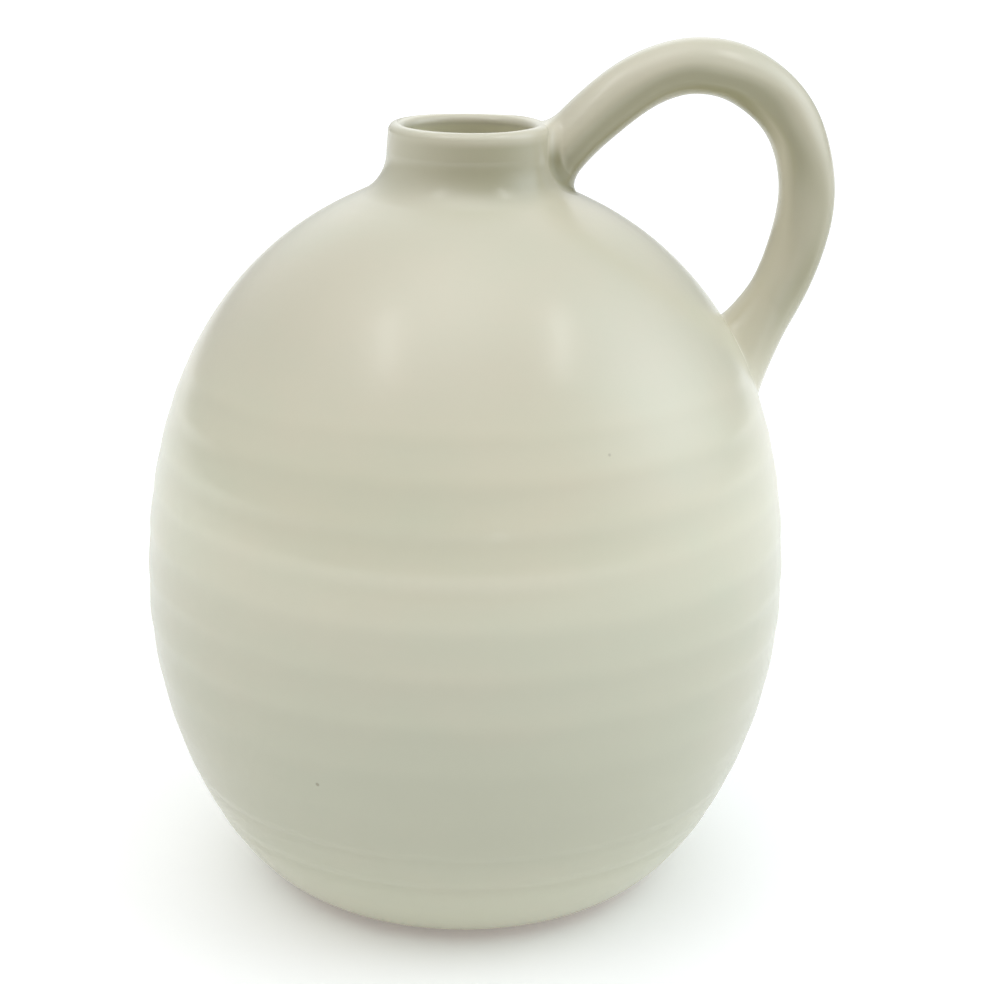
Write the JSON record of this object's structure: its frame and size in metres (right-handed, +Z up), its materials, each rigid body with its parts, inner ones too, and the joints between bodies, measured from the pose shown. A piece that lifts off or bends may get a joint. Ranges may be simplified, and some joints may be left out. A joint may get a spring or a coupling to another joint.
{
  "type": "ceramic jug",
  "caption": "Round-bellied stoneware jug with a low turned foot, a short narrow neck with a rounded lip and a loop handle from the neck to the shoulder.",
  "frame": {"origin": "middle of the flat underside that the jug stands on", "axes": "+Z up the jug's axis, +X towards the handle, so the picture's view is about along +Y with the handle on the right"},
  "size_m": [0.2021, 0.19, 0.2509],
  "materials": {
    "cream_glaze": "satin cream glaze, lightly mottled",
    "bare_clay": "unglazed fired clay, matt"
  },
  "bodies": {
    "root": {"base": "bare_clay", "belly": "cream_glaze", "neck": "cream_glaze", "handle": "cream_glaze", "upper_handle_joint": "cream_glaze", "lower_handle_joint": "cream_glaze"}
  },
  "joints": []
}
